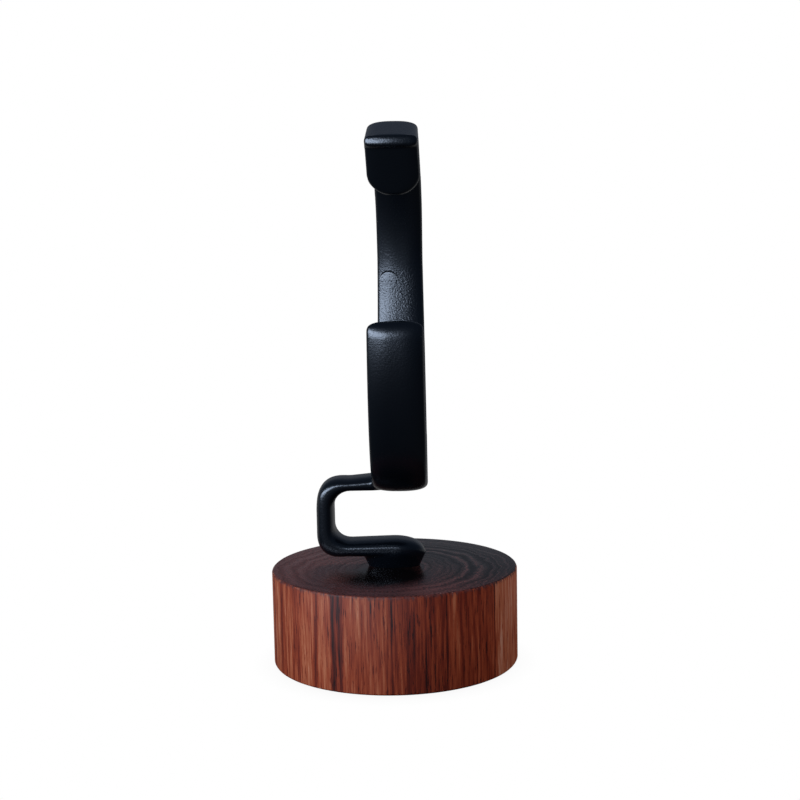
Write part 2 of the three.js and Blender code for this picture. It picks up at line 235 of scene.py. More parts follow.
SHADE_FROM, SHADE_TO = 8.5, 15.0  # distance from the middle of the painted shade over which it fades
SHADE_WANDER = 6.0
END_FROM, END_TO = 0.55, 0.85  # how far a face looks up or down, from long grain to end grain
RUN_LENGTH = 3.2  # longest run of oil down the side, counted from above the rim
RUN_FROM, RUN_TO = 0.9, 1.7  # height above the rim where the oil begins to show, and where it is full
RING_DULL, RING_SATIN = 0.36, 0.22  # roughness of the dark and the pale thin rings
RING_DULL_AT, RING_SATIN_AT = 0.35, 0.65  # level of the noise in them
SHADE_SATIN = 0.18  # roughness where the shade is painted, low so that the top mirrors the foot there
SIDE_ROUGH = 0.6  # roughness of the side
RELIEF = 0.03  # depth of the open grain
oiled_hardwood, tree, output = new_material("oiled_hardwood")
block.data.materials.clear()
block.data.materials.append(oiled_hardwood)
place = add_node(tree, "ShaderNodeTexCoord").outputs["Object"]
spot = add_node(tree, "ShaderNodeVectorMath", {"operation": "SCALE"}, Vector=place, Scale=1 / MM).outputs[0]
grains = []
for size in (STREAK, PORE, END_PORE, OIL_RUN, WANDER):
    scaled = add_node(
        tree, "ShaderNodeVectorMath", {"operation": "DIVIDE"}, Vector__0=spot, Vector__1=size,
    ).outputs[0]
    grain = add_node(
        tree, "ShaderNodeTexNoise", Vector=scaled, Scale=1.0, Detail=NOISE_DETAIL, Roughness=NOISE_ROUGHNESS,
    )
    grains.append(grain.outputs["Fac"])
streaks, pores, end_pores, oil_runs, wander = grains
distances = []
for middle in (GRAIN_MIDDLE, PITH, PAINTED_SHADE_AT):
    away = add_node(
        tree, "ShaderNodeVectorMath", {"operation": "MULTIPLY_ADD"},
        Vector__0=spot, Vector__1=(1, 1, 0), Vector__2=(-middle[0], -middle[1], 0),
    ).outputs[0]
    length = add_node(tree, "ShaderNodeVectorMath", {"operation": "LENGTH"}, Vector=away)
    distances.append(length.outputs["Value"])
from_grain_middle, from_pith, from_painted_shade = distances
shift = add_node(
    tree, "ShaderNodeMath", {"operation": "MULTIPLY_ADD"},
    Value__0=wander, Value__1=BAND_WANDER, Value__2=-NOISE_MEAN * BAND_WANDER,
).outputs[0]
from_grain_middle = add_node(
    tree, "ShaderNodeMath", {"operation": "ADD"}, Value__0=from_grain_middle, Value__1=shift,
).outputs[0]
band_place = add_node(
    tree, "ShaderNodeMapRange", Value=from_grain_middle, From_Min=BANDS_FROM, From_Max=BANDS_TO,
).outputs[0]
band_stops = [((at - BANDS_FROM) / (BANDS_TO - BANDS_FROM), (tone, tone, tone, 1)) for at, tone in BANDS]
bands = add_node(tree, "ShaderNodeValToRGB", {"stops": band_stops}, Fac=band_place).outputs[0]
streaked = add_node(
    tree, "ShaderNodeMath", {"operation": "MULTIPLY_ADD"},
    Value__0=streaks, Value__1=STREAK_DEPTH, Value__2=-NOISE_MEAN * STREAK_DEPTH,
).outputs[0]
tone = add_node(tree, "ShaderNodeMath", {"operation": "ADD"}, Value__0=bands, Value__1=streaked).outputs[0]
pore_depth = add_node(
    tree, "ShaderNodeMapRange", Value=pores, From_Min=PORE_FROM, From_Max=PORE_TO,
    To_Min=-PORE_DEPTH, To_Max=0.0,
).outputs[0]
tone = add_node(tree, "ShaderNodeMath", {"operation": "ADD"}, Value__0=tone, Value__1=pore_depth).outputs[0]
long_grain = add_node(
    tree, "ShaderNodeValToRGB", {"stops": [
        (0.0, hex_colour("#230604")), (0.3, hex_colour("#5e1c0c")), (0.55, hex_colour("#81351b")),
        (0.8, hex_colour("#9b583a")), (1.0, hex_colour("#b07f69")),
    ]}, Fac=tone,
).outputs[0]
year = add_node(
    tree, "ShaderNodeMath", {"operation": "MULTIPLY_ADD"},
    Value__0=wander, Value__1=FINE_RING_WANDER, Value__2=from_pith,
).outputs[0]
fine_rings = add_node(
    tree, "ShaderNodeTexNoise", {"noise_dimensions": "1D"},
    W=year, Scale=1 / FINE_RING, Detail=FINE_RING_DETAIL,
).outputs["Fac"]
end_slope = add_node(
    tree, "ShaderNodeMapRange", Value=from_grain_middle, From_Min=SLOPE_FROM, From_Max=SLOPE_TO,
    To_Min=NEAR_TONE, To_Max=FAR_TONE,
).outputs[0]
speckled = add_node(
    tree, "ShaderNodeMapRange", {"clamp": False}, Value=end_pores, From_Min=END_PORE_FROM, From_Max=END_PORE_TO,
).outputs[0]
ring_depth = add_node(
    tree, "ShaderNodeMapRange", Value=from_grain_middle, From_Min=SLOPE_FROM, From_Max=SLOPE_TO,
    To_Min=NEAR_RINGS, To_Max=FAR_RINGS,
).outputs[0]
ringed = add_node(
    tree, "ShaderNodeMath", {"operation": "SUBTRACT"}, Value__0=fine_rings, Value__1=NOISE_MEAN,
).outputs[0]
end_tone = add_node(
    tree, "ShaderNodeMath", {"operation": "MULTIPLY_ADD"},
    Value__0=ringed, Value__1=ring_depth, Value__2=speckled,
).outputs[0]
end_tone = add_node(tree, "ShaderNodeMath", {"operation": "ADD"}, Value__0=end_tone, Value__1=end_slope).outputs[0]
end_grain = add_node(
    tree, "ShaderNodeValToRGB", {"stops": [
        (0.2, hex_colour("#0d0808")), (0.5, hex_colour("#2c1816")), (0.8, hex_colour("#502c29")),
    ]}, Fac=end_tone,
).outputs[0]
shade_edge = add_node(
    tree, "ShaderNodeMath", {"operation": "MULTIPLY_ADD"},
    Value__0=wander, Value__1=SHADE_WANDER, Value__2=from_painted_shade,
).outputs[0]
painted_shade = add_node(
    tree, "ShaderNodeMapRange", {"interpolation_type": "SMOOTHSTEP"}, Value=shade_edge,
    From_Min=SHADE_FROM, From_Max=SHADE_TO, To_Min=1.0, To_Max=0.0,
).outputs[0]
# Painted shade: in front of the foot the end grain is mixed towards near-black.
end_grain = add_node(
    tree, "ShaderNodeMix", {"data_type": "RGBA"}, Factor=painted_shade, A=end_grain, B=hex_colour("#060404"),
).outputs[2]
upright = add_node(
    tree, "ShaderNodeSeparateXYZ", Vector=add_node(tree, "ShaderNodeTexCoord").outputs["Normal"],
).outputs["Z"]
facing = add_node(tree, "ShaderNodeMath", {"operation": "ABSOLUTE"}, Value=upright).outputs[0]
across_grain = add_node(
    tree, "ShaderNodeMapRange", Value=facing, From_Min=END_FROM, From_Max=END_TO,
).outputs[0]
height = add_node(tree, "ShaderNodeSeparateXYZ", Vector=spot).outputs["Z"]
run_end = add_node(
    tree, "ShaderNodeMath", {"operation": "MULTIPLY_ADD"},
    Value__0=oil_runs, Value__1=RUN_LENGTH, Value__2=height,
).outputs[0]
soaked = add_node(
    tree, "ShaderNodeMapRange", Value=run_end, From_Min=BLOCK_TOP + RUN_FROM, From_Max=BLOCK_TOP + RUN_TO,
).outputs[0]
dark_share = add_node(
    tree, "ShaderNodeMath", {"operation": "MAXIMUM"}, Value__0=across_grain, Value__1=soaked,
).outputs[0]
colour = add_node(
    tree, "ShaderNodeMix", {"data_type": "RGBA"}, Factor=dark_share, A=long_grain, B=end_grain,
).outputs[2]
ring_gloss = add_node(
    tree, "ShaderNodeMapRange", Value=fine_rings, From_Min=RING_DULL_AT, From_Max=RING_SATIN_AT,
    To_Min=RING_DULL, To_Max=RING_SATIN,
).outputs[0]
end_gloss = add_node(
    tree, "ShaderNodeMapRange", Value=painted_shade, To_Min=ring_gloss, To_Max=SHADE_SATIN,
).outputs[0]
gloss = add_node(
    tree, "ShaderNodeMapRange", Value=across_grain, To_Min=SIDE_ROUGH, To_Max=end_gloss,
).outputs[0]
relief = add_node(tree, "ShaderNodeBump", Height=tone, Strength=0.35, Distance=RELIEF * MM).outputs[0]
shader = add_node(
    tree, "ShaderNodeBsdfPrincipled", Base_Color=colour, Roughness=gloss, Normal=relief, IOR=1.45,
    Specular_IOR_Level=0.35,
)
tree.links.new(shader.outputs["BSDF"], output.inputs["Surface"])
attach(block, "root")
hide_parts("base_block")


# Screw and washer
# A pan-head screw of zinc-plated steel with a cross recess, and a plain washer under its head, in the
# counterbore of the block. They pull the foot of the clip down onto the wood.

# Bright zinc over steel: a cool grey metal, slightly clouded yellow and blue where it was passivated.
CLOUD = 1.6  # about from one cloud to the next
BRIGHT, DULLED = 0.26, 0.44  # roughness that the clouds vary between
zinc_steel, tree, output = new_material("zinc_plated_steel")
place = add_node(tree, "ShaderNodeTexCoord").outputs["Object"]
cloud = add_node(tree, "ShaderNodeTexNoise", Vector=place, Scale=1 / (CLOUD * MM), Detail=3.0).outputs["Fac"]
plating = add_node(
    tree, "ShaderNodeValToRGB", {"stops": [
        (0.35, hex_colour("#b4bac4")), (0.5, hex_colour("#bfc1c3")), (0.65, hex_colour("#c6c1b0")),
    ]}, Fac=cloud,
).outputs[0]
dulled = add_node(tree, "ShaderNodeMapRange", Value=cloud, To_Min=BRIGHT, To_Max=DULLED).outputs[0]
shader = add_node(tree, "ShaderNodeBsdfPrincipled", Base_Color=plating, Roughness=dulled, Metallic=1.0)
tree.links.new(shader.outputs["BSDF"], output.inputs["Surface"])
for name in ("fixing_screw", "screw_washer"):
    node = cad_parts[name]
    node.data.materials.clear()
    node.data.materials.append(zinc_steel)


# C clip
# One moulding of black plastic with a fine spark-eroded grain: an open oval ring of flat band whose upper end
# bends down into a tongue, a slim neck on the ring's left, and a toe on a boss that stands on the wood.

RING_X = 1.6  # middle of the ring to the right of the screw
RING_SETBACK = 4.0  # and behind it
RING_BOTTOM = 35.85
RING_HALF_LENGTH = 36.0
RING_HALF_BREADTH = 22.55
RING_LEAN = math.radians(15)
BAND_HALF = 1.76  # half its thickness, as in the other halves below
BAND_SQUARENESS = 2.6
LIP_DROP = 1.35  # edge of the lip below the middle of the ring
LIP_END = 3.3  # length over which it thins
LIP_CORNER = 2.0
LIP_CORNER_SQUARENESS = 3.0
HOOK_START = 2.7  # where the roof leaves the oval, behind its middle
HOOK_ROOF = 15.7
HOOK_HALF = 1.3
HOOK_CORNER = 0.9
HOOK_LEAN = math.radians(22)
HOOK_SLANT = math.tan(math.radians(2.5))  # the end of the moulding has sprung a little to the left
SLANT_FROM, SLANT_TO = 90.0, 100.0  # heights over which it does
NOSE_FACE = math.radians(8)  # how far the blunt edge of the corner faces up
NOSE_HALF_HEIGHT = 1.15
NOSE_HALF_DEPTH = 0.75
NOSE_LIFT = 0.2  # middle of that edge above the middle of the band
NOSE_PROUD = 0.3  # how far it stands out in front of the corner
NOSE_BOW = 0.42  # and how far its two ends fall back from its middle
NOSE_SQUARENESS = 4.0
TONGUE_LENGTH = 11.4
TONGUE_ROUND = 4.2
TONGUE_EDGE = 0.9
WIDTH_LIP, WIDTH_BOTTOM, WIDTH_BACK, WIDTH_HOOK = 10.8, 11.2, 9.9, 10.45
SECTION_POINTS = 48
STATION_STEP = 0.4
END_STATIONS = 14
LOOK_AHEAD = 0.05  # distance over which a route's direction is taken
OVAL_POINTS = 900
STRAIGHT_POINTS = 40
NOSE_STATIONS = 60


def end_factor(distance, length, squareness=2.0):
    """Quarter-round factor, 0 at the tip of an end and 1 from `length` on."""
    left = np.clip(1 - distance / length, 0, 1)
    return (1 - left ** squareness) ** (1 / squareness)


def stations(route, ends):
    """Even distances along a route of points, closer together in its two rounded ends, with the points and
    the directions there."""
    steps = np.linalg.norm(np.diff(route, axis=0), axis=1)
    along = np.concatenate([[0], np.cumsum(steps)])
    length = along[-1]
    rounding = 1 - np.cos(np.linspace(0, math.pi / 2, END_STATIONS))
    even = np.arange(ends[0], length - ends[1], STATION_STEP)[1:]
    distances = np.concatenate([rounding * ends[0], even, length - (rounding * ends[1])[::-1]])
    nearby = [np.clip(distances + step, 0, length) for step in (-LOOK_AHEAD, 0, LOOK_AHEAD)]
    behind, points, beyond = [
        np.column_stack([np.interp(spots, along, route[:, axis]) for axis in (0, 1)]) for spots in nearby
    ]
    ahead = beyond - behind
    return distances, length, points, ahead / np.linalg.norm(ahead, axis=1)[:, None]


def loft(skin, centres, across, through, half_across, half_through, squareness):
    """Adds a closed skin over rounded sections to a bmesh. The first and last section close to a point."""
    angles = np.linspace(0, 2 * math.pi, SECTION_POINTS, endpoint=False)
    u = np.sign(np.cos(angles)) * np.abs(np.cos(angles)) ** (2 / squareness)
    v = np.sign(np.sin(angles)) * np.abs(np.sin(angles)) ** (2 / squareness)
    rings = []
    for index in range(1, len(centres) - 1):
        points = centres[index] + np.outer(u * half_across[index], across[index])
        points = points + np.outer(v * half_through[index], through[index])
        rings.append([skin.verts.new(point * MM) for point in points])
    tips = [skin.verts.new(centres[0] * MM), skin.verts.new(centres[-1] * MM)]
    for lower, upper in zip(rings, rings[1:]):
        for step in range(SECTION_POINTS):
            there = (step + 1) % SECTION_POINTS
            skin.faces.new((lower[step], lower[there], upper[there], upper[step]))
    for tip, ring in zip(tips, (rings[0], rings[-1])):
        for step in range(SECTION_POINTS):
            skin.faces.new((tip, ring[step], ring[(step + 1) % SECTION_POINTS]))


def arc(centre, radius, start, finish, count, lean=0.0):
    """Points of a circle or, with two radii, an oval that leans to the right by an angle."""
    angles = np.linspace(start, finish, count)
    radii = np.broadcast_to(radius, 2)
    along, up = radii[0] * np.cos(angles), radii[1] * np.sin(angles)
    turned_along = along * math.cos(lean) + up * math.sin(lean)
    turned_up = up * math.cos(lean) - along * math.sin(lean)
    return np.column_stack([centre[0] + turned_along, centre[1] + turned_up])


clip_skin = bmesh.new()

# The ring's band, in the plane of the oval: first Y, then Z.
up = (RING_HALF_LENGTH * math.cos(RING_LEAN), RING_HALF_BREADTH * math.sin(RING_LEAN))
back = (RING_HALF_BREADTH * math.cos(RING_LEAN), RING_HALF_LENGTH * math.sin(RING_LEAN))
ring_middle = RING_BOTTOM + math.hypot(*up) + BAND_HALF
bottom_angle = 1.5 * math.pi + math.atan2(up[1], up[0])
back_angle = 2 * math.pi + math.atan2(back[1], back[0])
lip_angle = bottom_angle - math.acos(LIP_DROP / math.hypot(*up))
hook_angle = back_angle + math.acos(HOOK_START / math.hypot(*back))
oval_size = (RING_HALF_BREADTH, RING_HALF_LENGTH)
oval = arc((RING_SETBACK, ring_middle), oval_size, lip_angle, hook_angle, OVAL_POINTS, RING_LEAN)
forward = (oval[-1] - oval[-2]) / np.linalg.norm(oval[-1] - oval[-2])
roof = oval[-1] + np.outer(np.linspace(0, HOOK_ROOF, STRAIGHT_POINTS), forward)
ring_route = np.concatenate([oval, roof[1:]])
distances, length, points, ahead = stations(ring_route, (LIP_END, HOOK_CORNER))
oval_lengths = np.concatenate([[0], np.cumsum(np.linalg.norm(np.diff(oval, axis=0), axis=1))])
oval_angles = np.linspace(lip_angle, hook_angle, len(oval))
width_places = np.interp([lip_angle, bottom_angle, back_angle, hook_angle], oval_angles, oval_lengths)
widths = np.interp(distances, width_places, (WIDTH_LIP, WIDTH_BOTTOM, WIDTH_BACK, WIDTH_HOOK))
thickness = np.interp(distances, (oval_lengths[-1], length), (BAND_HALF, HOOK_HALF))
half_across = widths / 2 * end_factor(distances, LIP_CORNER, LIP_CORNER_SQUARENESS)
half_across *= end_factor(length - distances, HOOK_CORNER, LIP_CORNER_SQUARENESS)
half_through = thickness * end_factor(distances, LIP_END) * end_factor(length - distances, HOOK_CORNER)


def ring_band(points, ahead, half_across, half_through):
    """Adds a band in the plane of the oval to the clip, out of line to the left towards the hook."""
    climb = points[:, 1] - SLANT_FROM
    blend = SLANT_TO - SLANT_FROM
    sideways = np.where(climb < blend, np.clip(climb, 0, None) ** 2 / (2 * blend), climb - blend / 2)
    nothing = np.zeros(len(points))
    loft(
        clip_skin,
        np.column_stack([RING_X - HOOK_SLANT * sideways, points]),
        np.column_stack([nothing + 1, nothing, nothing]),
        np.column_stack([nothing, ahead[:, 1], -ahead[:, 0]]),
        half_across, half_through, BAND_SQUARENESS,
    )


ring_band(points, ahead, half_across, half_through)

# The tongue, with its front face running down and inwards from the corner of the hook.
down = np.array([math.sin(HOOK_LEAN), -math.cos(HOOK_LEAN)])
tongue_start = roof[-1] + HOOK_HALF * np.array([math.cos(HOOK_LEAN), math.sin(HOOK_LEAN)])
tongue_route = tongue_start + np.outer(np.linspace(0, TONGUE_LENGTH, STRAIGHT_POINTS), down)
distances, length, points, ahead = stations(tongue_route, (HOOK_CORNER, TONGUE_ROUND))
half_across = WIDTH_HOOK / 2 * end_factor(distances, HOOK_CORNER, LIP_CORNER_SQUARENESS)
half_across *= end_factor(length - distances, TONGUE_ROUND)
half_through = HOOK_HALF * end_factor(distances, HOOK_CORNER) * end_factor(length - distances, TONGUE_EDGE)
ring_band(points, ahead, half_across, half_through)

# The blunt edge of the corner, a short bar across the end of the band.
across_steps = np.linspace(-1, 1, NOSE_STATIONS)
shift = HOOK_SLANT * (roof[-1][1] - (SLANT_FROM + SLANT_TO) / 2)
face_out = np.array([-math.cos(NOSE_FACE), math.sin(NOSE_FACE)])
nose = roof[-1] + np.array([0, NOSE_LIFT]) - (NOSE_HALF_DEPTH - NOSE_PROUD) * face_out
narrow = end_factor(1 - np.abs(across_steps), 2 * LIP_CORNER / WIDTH_HOOK, LIP_CORNER_SQUARENESS)
every = np.ones(len(across_steps))
loft(
    clip_skin,
    np.column_stack([
        RING_X - shift + across_steps * WIDTH_HOOK / 2, nose[0] + NOSE_BOW * across_steps ** 2, nose[1] * every,
    ]),
    np.outer(every, (0, *face_out)),
    np.outer(every, (0, face_out[1], -face_out[0])),
    NOSE_HALF_DEPTH * narrow, NOSE_HALF_HEIGHT * narrow, NOSE_SQUARENESS,
)

# The neck's bar and the toe that it ends in, in the plane across the ring: first X, then Z.
NECK_REACH = 13.8  # to the left of the screw
NECK_BEND = 5.0
NECK_HALF_DEPTH = 4.3
NECK_SQUARENESS = 3.0
NECK_ROOT_ROUND = 1.0
NECK_ROOT, NECK_UPPER, NECK_UPRIGHT, NECK_LOWER, NECK_FOOT = 3.0, 2.5, 3.6, 3.2, 3.7
NECK_CLEAR_OF_BLOCK = 2.4
BEND_POINTS = 60
NECK_CORNERS = (0.8, 1.15)  # how much the bar is thicker on the outside of its upper and its lower bend
TOE_REACH = 6.2
TOE_DROP = 1.6
TOE_ROUND = 3.5
TOE_TAPER = 5.5
arm_top = RING_BOTTOM + NECK_UPPER / 2
arm_bottom = BLOCK_TOP + NECK_CLEAR_OF_BLOCK + NECK_LOWER / 2
bend_x = NECK_BEND - NECK_REACH
upper_bend = arc((bend_x, arm_top - NECK_BEND), NECK_BEND, math.pi / 2, math.pi, BEND_POINTS)
lower_bend = arc((bend_x, arm_bottom + NECK_BEND), NECK_BEND, math.pi, 1.5 * math.pi, BEND_POINTS)
root = np.array([RING_X, RING_BOTTOM + BAND_HALF])
share = np.linspace(0, 1, BEND_POINTS)
toe = np.column_stack([TOE_REACH * share, arm_bottom - TOE_DROP * share ** 2])
neck_route = np.concatenate([[root], upper_bend, lower_bend, toe])
distances, length, points, ahead = stations(neck_route, (NECK_ROOT_ROUND, TOE_ROUND))
arm_length = np.linalg.norm(upper_bend[0] - root)
bend_length = NECK_BEND * math.pi / 2
upright_length = upper_bend[-1][1] - lower_bend[0][1]
foot_length = -lower_bend[-1][0]
places = np.cumsum([arm_length, bend_length, upright_length, bend_length, foot_length])
thickness = np.interp(
    distances, [WIDTH_BOTTOM / 2, *places],
    (NECK_ROOT, NECK_UPPER, NECK_UPRIGHT, NECK_UPRIGHT, NECK_LOWER, NECK_FOOT),
)
inwards = np.column_stack([-ahead[:, 1], ahead[:, 0]])
for start, corner in zip((places[0], places[2]), NECK_CORNERS):
    extra = corner * np.sin(math.pi * np.clip((distances - start) / bend_length, 0, 1)) ** 2
    thickness += extra
    points -= inwards * extra[:, None] / 2
rooted = end_factor(distances, NECK_ROOT_ROUND)
half_across = NECK_HALF_DEPTH * rooted * end_factor(length - distances, TOE_TAPER)
half_through = thickness / 2 * rooted * end_factor(length - distances, TOE_ROUND)
nothing = np.zeros(len(distances))
loft(
    clip_skin,
    np.column_stack([points[:, 0], nothing, points[:, 1]]),
    np.column_stack([nothing, nothing + 1, nothing]),
    np.column_stack([inwards[:, 0], nothing, inwards[:, 1]]),
    half_across, half_through, NECK_SQUARENESS,
)

# The oval boss under the foot, and the peg under it that stops the clip turning.
BOSS_RADIUS, BOSS_WAIST = 6.6, 5.1  # at the bar, and drawn in at the wood
BOSS_DEPTH_SHARES = (0.5, 0.635)  # its depth as a share of its length, at the wood and at the bar
BOSS_JOIN = 0.5  # how far it runs up into the bar
BOSS_STEPS = 64
BOSS_PRESSED = 0.25  # how far the screw pulls its rounded rim into the wood
PEG_RADIUS = 1.2
PEG_LENGTH = 2.5
PEG_JOIN = 0.2  # how far it runs up into the pressed-in rim of the boss
PILOT_TOP = 24.5  # end of the hole for the screw
boss_top = BLOCK_TOP + NECK_CLEAR_OF_BLOCK + BOSS_JOIN
boss_seat = BLOCK_TOP - BOSS_PRESSED
boss_profile = [(0, boss_seat), (BOSS_WAIST, boss_seat), (BOSS_RADIUS, boss_top), (0, boss_top)]
peg_bottom = BLOCK_TOP - PEG_LENGTH
peg_top = boss_seat + PEG_JOIN
peg_profile = [(0, peg_bottom), (PEG_RADIUS, peg_bottom), (PEG_RADIUS, peg_top), (0, peg_top)]
for profile, offset, shares in ((boss_profile, 0, BOSS_DEPTH_SHARES), (peg_profile, PEG_OFFSET, (1, 1))):
    solid = turned(profile, BOSS_STEPS)
    for vert in solid.verts:
        vert.co.y *= np.interp(vert.co.z / MM, (profile[0][1], profile[-1][1]), shares)
    bmesh.ops.translate(solid, verts=solid.verts, vec=(offset * MM, 0, 0))
    part = bpy.data.meshes.new("part")
    solid.to_mesh(part)
    clip_skin.from_mesh(part)
    bpy.data.meshes.remove(part)
    solid.free()
bmesh.ops.recalc_face_normals(clip_skin, faces=clip_skin.faces)

# The shells become one skin with small fillets where they meet.
CLIP_GRID = 0.25
FILLET_PASSES = 10
clip = piece("clip_moulding", mesh_of(clip_skin, "clip_shells"))
merge = clip.modifiers.new("merge", "REMESH")
merge.mode = "VOXEL"
merge.voxel_size = CLIP_GRID * MM
merge.use_smooth_shade = True
fillet = clip.modifiers.new("fillet", "SMOOTH")
fillet.factor = 0.5
fillet.iterations = FILLET_PASSES
settle(clip)
drill(clip, SCREW_HOLE_RADIUS, BLOCK_TOP - DRILL_PAST, PILOT_TOP, 0)

# Satin black plastic: almost no colour of its own, soft bluish highlights broken up by the grain of the mould.
SATIN, ROUGH = 0.26, 0.3  # roughness of the skin, and inside the back of the ring, where the mould is coarser
SHALLOW, DEEP = 0.32, 1.0  # strength of the grain on the skin and there
BACK_FROM, BACK_BLEND = 14.0, 4.0  # where the back of the ring begins, and how softly
BACK_ROUGH_TO, ROUGH_BLEND = 77.0, 3.0  # height up to which it is rough, and how softly that ends
GRAIN = 0.36  # a little coarser than spark erosion leaves so that it shows in the render
GRAIN_DEPTH = 0.065
PIN_AT = (-0.9, 76.9)  # x and z of the mark of an ejector pin, a crescent at the top of the coarse part
PIN_RADIUS, PIN_WALL, PIN_DEPTH = 2.0, 0.45, 0.12
black_plastic, tree, output = new_material("moulded_black_plastic")
clip.data.materials.clear()
clip.data.materials.append(black_plastic)
place = add_node(tree, "ShaderNodeTexCoord").outputs["Object"]
seat = add_node(tree, "ShaderNodeSeparateXYZ", Vector=place).outputs
behind = add_node(
    tree, "ShaderNodeMapRange", Value=seat["Y"], From_Min=BACK_FROM * MM,
    From_Max=(BACK_FROM + BACK_BLEND) * MM,
).outputs[0]
coarse = add_node(
    tree, "ShaderNodeMapRange", Value=seat["Z"], From_Min=BACK_ROUGH_TO * MM,
    From_Max=(BACK_ROUGH_TO + ROUGH_BLEND) * MM, To_Min=behind, To_Max=0.0,
).outputs[0]
roughness = add_node(tree, "ShaderNodeMapRange", Value=coarse, To_Min=SATIN, To_Max=ROUGH).outputs[0]
strength = add_node(tree, "ShaderNodeMapRange", Value=coarse, To_Min=SHALLOW, To_Max=DEEP).outputs[0]
grain = add_node(tree, "ShaderNodeTexNoise", Vector=place, Scale=1 / (GRAIN * MM), Detail=1.0)
bump = add_node(
    tree, "ShaderNodeBump", Height=grain.outputs["Fac"], Strength=strength, Distance=GRAIN_DEPTH * MM,
)
from_pin = add_node(
    tree, "ShaderNodeVectorMath", {"operation": "MULTIPLY_ADD"},
    Vector__0=place, Vector__1=(1, 0, 1), Vector__2=(-PIN_AT[0] * MM, 0, -PIN_AT[1] * MM),
).outputs[0]
pin_distance = add_node(tree, "ShaderNodeVectorMath", {"operation": "LENGTH"}, Vector=from_pin).outputs["Value"]
pin_edge = add_node(
    tree, "ShaderNodeMapRange", Value=pin_distance, From_Min=(PIN_RADIUS - PIN_WALL) * MM,
    From_Max=PIN_RADIUS * MM,
).outputs[0]
pin_slope = add_node(
    tree, "ShaderNodeMapRange", Value=seat["Z"], From_Min=(PIN_AT[1] + PIN_RADIUS) * MM,
    From_Max=PIN_AT[1] * MM,
).outputs[0]
pin_edge = add_node(
    tree, "ShaderNodeMath", {"operation": "MAXIMUM"}, Value__0=pin_edge, Value__1=pin_slope,
).outputs[0]
bump = add_node(
    tree, "ShaderNodeBump", Height=pin_edge, Strength=1.0, Distance=PIN_DEPTH * MM,
    Normal=bump.outputs["Normal"],
)
shader = add_node(
    tree, "ShaderNodeBsdfPrincipled", Base_Color=hex_colour("#03060b"), Roughness=roughness, IOR=1.54,
    Specular_IOR_Level=0.55, Specular_Tint=hex_colour("#eaf4ff"), Normal=bump.outputs["Normal"],
)
tree.links.new(shader.outputs["BSDF"], output.inputs["Surface"])
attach(clip, "root")
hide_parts("holder_clip")


# Anti-slip pad
# A disc die-cut from black sheet rubber and glued into the shallow recess under the block. It covers the
# screw and stands half a millimetre proud, so the holder rests on it.

PAD_RADIUS = 21.0
PAD_THICKNESS = 1.5
PAD_EDGE = 0.25
PAD_EDGE_STEPS = 4
pad_profile = [(0, PAD_THICKNESS), (0, 0)]
pad_profile += quarter_round(PAD_RADIUS - PAD_EDGE, PAD_EDGE, PAD_EDGE, -90, PAD_EDGE_STEPS)
pad_profile += quarter_round(PAD_RADIUS - PAD_EDGE, PAD_THICKNESS - PAD_EDGE, PAD_EDGE, 0, PAD_EDGE_STEPS)
pad = piece("rubber_pad", mesh_of(turned(pad_profile, TURNING_STEPS), "rubber_pad"))

# Sheet rubber: dull charcoal with a fine pebble from the press and a little pale bloom.
PEBBLE, PEBBLE_DEPTH = 0.5, 0.08
BLOOM = 6.0  # about from one pale patch to the next
sheet_rubber, tree, output = new_material("black_sheet_rubber")
pad.data.materials.append(sheet_rubber)
place = add_node(tree, "ShaderNodeTexCoord").outputs["Object"]
pebble = add_node(tree, "ShaderNodeTexVoronoi", Vector=place, Scale=1 / (PEBBLE * MM)).outputs["Distance"]
bloom = add_node(tree, "ShaderNodeTexNoise", Vector=place, Scale=1 / (BLOOM * MM), Detail=4.0).outputs["Fac"]
charcoal = add_node(
    tree, "ShaderNodeValToRGB", {"stops": [
        (0.4, hex_colour("#171718")), (0.7, hex_colour("#29292a")),
    ]}, Fac=bloom,
).outputs[0]
bump = add_node(
    tree, "ShaderNodeBump", Height=pebble, Strength=0.4, Distance=PEBBLE_DEPTH * MM,
).outputs["Normal"]
shader = add_node(
    tree, "ShaderNodeBsdfPrincipled", Base_Color=charcoal, Roughness=0.85, IOR=1.52, Normal=bump,
)
tree.links.new(shader.outputs["BSDF"], output.inputs["Surface"])
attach(pad, "root")
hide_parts("anti_slip_pad")


# Floor, light and camera
# A plain white table and backdrop, one large window in front on the left, and the camera of the photograph.

FLOOR_HALF = 3.0  # metres
CONTACT = 5.0  # millimetres round the block that its soft shadow reaches
CONTACT_LEVEL = 0.95  # brightness of the floor right under the block's edge
CONTACT_SKY = 0.3  # share of the sky that is open there
FLOOR_SHEEN, FLOOR_SHEEN_BEHIND = 0.01, 0.2  # shares of the white floor that glossy pieces show
SHEEN_REACH = 0.06  # metres behind the middle over which the first turns into the second
floor_skin = bmesh.new()
bmesh.ops.create_grid(floor_skin, x_segments=1, y_segments=1, size=FLOOR_HALF)
floor = piece("floor", mesh_of(floor_skin, "floor"))


def whitened(tree, plain, white, sheen):
    """Mixed shader that is white to the camera, white by the share `sheen` to glossy rays, and plain to the
    others."""
    path = add_node(tree, "ShaderNodeLightPath").outputs
    seen = add_node(
        tree, "ShaderNodeMath", {"operation": "MAXIMUM"},
        Value__0=path["Is Camera Ray"], Value__1=path["Is Transmission Ray"],
    ).outputs[0]
    seen = add_node(
        tree, "ShaderNodeMath", {"operation": "MULTIPLY_ADD"},
        Value__0=path["Is Glossy Ray"], Value__1=sheen, Value__2=seen,
    ).outputs[0]
    return add_node(
        tree, "ShaderNodeMixShader", Fac=seen, Shader__0=plain.outputs[0], Shader__1=white.outputs[0],
    )


